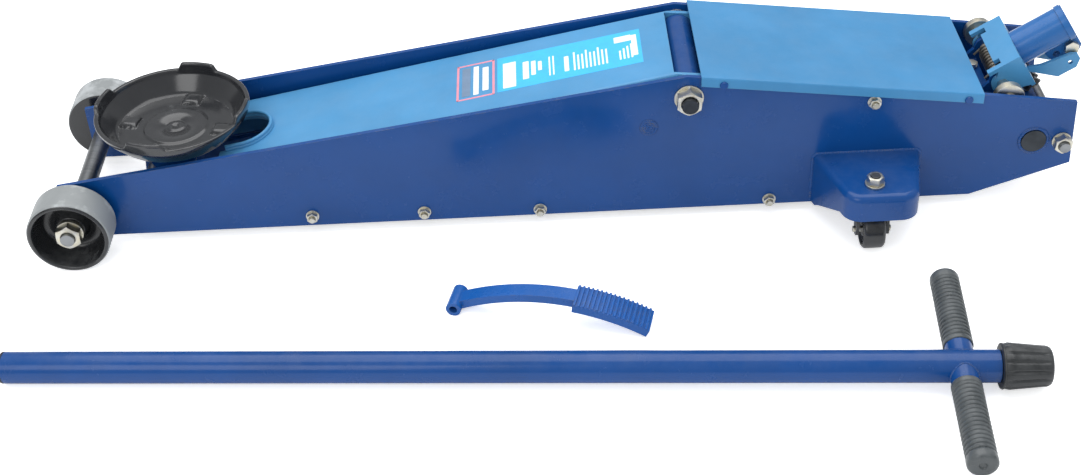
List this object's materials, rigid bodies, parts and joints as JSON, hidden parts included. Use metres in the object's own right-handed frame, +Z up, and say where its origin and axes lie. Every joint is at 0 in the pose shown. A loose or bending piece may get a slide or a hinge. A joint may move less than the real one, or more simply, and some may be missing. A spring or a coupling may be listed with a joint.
{
  "type": "hydraulic floor jack",
  "caption": "Long-chassis hydraulic floor jack with a level-keeping saddle, swivel casters, a loose T-handle and a loose foot pedal.",
  "frame": {"origin": "bottom centre of the box round the jack, the handle and the pedal, on the floor", "axes": "+X from the front wheels towards the handle socket, +Y from the loose handle towards the jack, +Z up"},
  "size_m": [1.3592, 0.7814, 0.2325],
  "materials": {
    "blue_paint": "gloss enamel",
    "blue_bright_paint": "gloss enamel",
    "cover_paint": "satin enamel",
    "zinc": "zinc-plated",
    "steel": "turned",
    "ground_steel": "ground",
    "cast_black": "black enamel",
    "saddle_black": "worn black enamel",
    "wheel_black": "worn black enamel",
    "spring_steel": "wire",
    "grip_grey": "ribbed rubbery plastic",
    "knob_black": "moulded",
    "plug_black": "moulded"
  },
  "bodies": {
    "root": {"side_plate_right": "blue_paint", "side_plate_left": "blue_paint", "spacer_tubes": "steel", "tie_bolts": "zinc", "tie_nuts": "zinc", "rear_tie_rod": "steel", "rear_tie_nuts": "zinc", "power_unit_cover": "cover_paint", "cover_screws": "blue_paint", "front_axle": "steel", "axle_nuts": "zinc", "main_pivot_shaft": "steel", "main_pivot_nuts": "zinc", "arm_thrust_rings": "zinc", "rod_anchor_shaft": "blue_paint", "cylinder_head": "blue_paint", "ram_cylinder": "steel", "oil_reservoir": "blue_paint", "pump_block": "blue_paint", "trunnion_shafts": "steel", "filler_plug": "zinc", "ram_return_springs": "spring_steel", "yoke_shaft": "zinc", "yoke_return_spring": "spring_steel", "caster_bracket_right": "blue_paint", "caster_bracket_left": "blue_paint", "caster_races": "zinc"},
    "front_wheel_right_body": {"front_wheel_right": "wheel_black"},
    "front_wheel_left_body": {"front_wheel_left": "wheel_black"},
    "fork_right": {"caster_fork_right": "cast_black", "caster_nut_and_pin_right": "zinc"},
    "fork_left": {"caster_fork_left": "cast_black", "caster_nut_and_pin_left": "zinc"},
    "caster_right": {"caster_wheel_right": "wheel_black"},
    "caster_left": {"caster_wheel_left": "wheel_black"},
    "arm": {"lift_arm": "blue_bright_paint", "arm_pivot_tube": "blue_paint", "ram_lever": "blue_paint", "ram_lever_pin": "zinc", "saddle_pin": "steel"},
    "bracket": {"saddle_bracket": "blue_paint", "parallel_rod_pin": "steel"},
    "saddle_body": {"saddle": "saddle_black"},
    "rods": {"parallel_rods": "blue_paint"},
    "ram_body": {"ram": "ground_steel", "ram_clevis": "steel"},
    "yoke": {"handle_yoke": "blue_bright_paint", "handle_socket": "blue_bright_paint", "socket_clamp_bolt": "zinc", "pump_roller": "zinc"},
    "plunger": {"pump_plunger": "ground_steel"},
    "release": {"release_spindle": "cast_black"},
    "coupler": {"release_coupler": "zinc"},
    "handle": {"handle_tube": "blue_paint", "handle_plug": "plug_black", "handle_crossbar": "blue_paint", "handle_grips": "grip_grey"},
    "knob": {"release_knob": "knob_black", "release_rod": "steel"},
    "pedal": {"foot_pedal": "blue_paint"}
  },
  "joints": [
    {"name": "front_wheel_right_spin", "type": "hinge", "parent": "root", "child": "front_wheel_right_body", "pos_m": [-0.62713, 0.06574, 0.0525], "axis": [0, 1, 0], "continuous": true},
    {"name": "front_wheel_left_spin", "type": "hinge", "parent": "root", "child": "front_wheel_left_body", "pos_m": [-0.62713, 0.32174, 0.0525], "axis": [0, 1, 0], "continuous": true},
    {"name": "caster_right_swivel", "type": "hinge", "parent": "root", "child": "fork_right", "pos_m": [0.39087, 0.02774, 0.06], "axis": [0, 0, 1], "continuous": true},
    {"name": "caster_left_swivel", "type": "hinge", "parent": "root", "child": "fork_left", "pos_m": [0.39087, 0.35974, 0.06], "axis": [0, 0, 1], "continuous": true},
    {"name": "caster_right_roll", "type": "hinge", "parent": "fork_right", "child": "caster_right", "pos_m": [0.39087, 0.02174, 0.025], "axis": [1, 0, 0], "continuous": true},
    {"name": "caster_left_roll", "type": "hinge", "parent": "fork_left", "child": "caster_left", "pos_m": [0.39087, 0.36574, 0.025], "axis": [1, 0, 0], "continuous": true},
    {"name": "arm_lift", "type": "hinge", "parent": "root", "child": "arm", "pos_m": [0.16487, 0.19374, 0.184], "axis": [0, 1, 0], "range_deg": [0, 38]},
    {"name": "saddle_level", "type": "hinge", "parent": "arm", "child": "bracket", "pos_m": [-0.50213, 0.19374, 0.07], "axis": [0, 1, 0], "range_deg": [-38, 0]},
    {"name": "saddle_turn", "type": "hinge", "parent": "bracket", "child": "saddle_body", "pos_m": [-0.50213, 0.19374, 0.12], "axis": [0, 0, 1], "continuous": true},
    {"name": "rod_swing", "type": "hinge", "parent": "root", "child": "rods", "pos_m": [0.11487, 0.19374, 0.142], "axis": [0, 1, 0], "range_deg": [0, 38]},
    {"name": "ram_push", "type": "slide", "parent": "root", "child": "ram_body", "axis": [-1, 0, 0], "range_m": [0, 0.0586]},
    {"name": "yoke_tilt", "type": "hinge", "parent": "root", "child": "yoke", "pos_m": [0.57087, 0.19374, 0.154], "axis": [0, 1, 0], "range_deg": [-50, 10]},
    {"name": "pump_stroke", "type": "slide", "parent": "root", "child": "plunger", "axis": [0, 0, -1], "range_m": [-0.02739, 0.00549]},
    {"name": "release_turn", "type": "hinge", "parent": "root", "child": "release", "pos_m": [0.61787, 0.19374, 0.108], "axis": [0.5, 0, 0.866], "range_deg": [0, 180]},
    {"name": "coupler_turn", "type": "hinge", "parent": "yoke", "child": "coupler", "pos_m": [0.59923, 0.19374, 0.17467], "axis": [0.848, 0, 0.5299], "range_deg": [0, 180]},
    {"name": "handle_lift", "type": "slide", "parent": "root", "child": "handle", "axis": [0, 0, 1], "range_m": [0, 0.5]},
    {"name": "knob_turn", "type": "hinge", "parent": "handle", "child": "knob", "pos_m": [0.4856, -0.24488, 0.02708], "axis": [0.9972, -0.0748, 0.0069], "continuous": true},
    {"name": "pedal_lift", "type": "slide", "parent": "root", "child": "pedal", "axis": [0, 0, 1], "range_m": [0, 0.5]}
  ],
  "couplings": [
    {"joint": "saddle_level", "follows": "arm_lift", "ratio": -1},
    {"joint": "rod_swing", "follows": "arm_lift", "ratio": 1},
    {"joint": "ram_push", "follows": "arm_lift", "m_per_rad": 0.088359},
    {"joint": "pump_stroke", "follows": "yoke_tilt", "m_per_rad": 0.031361},
    {"joint": "coupler_turn", "follows": "release_turn", "ratio": 1}
  ]
}
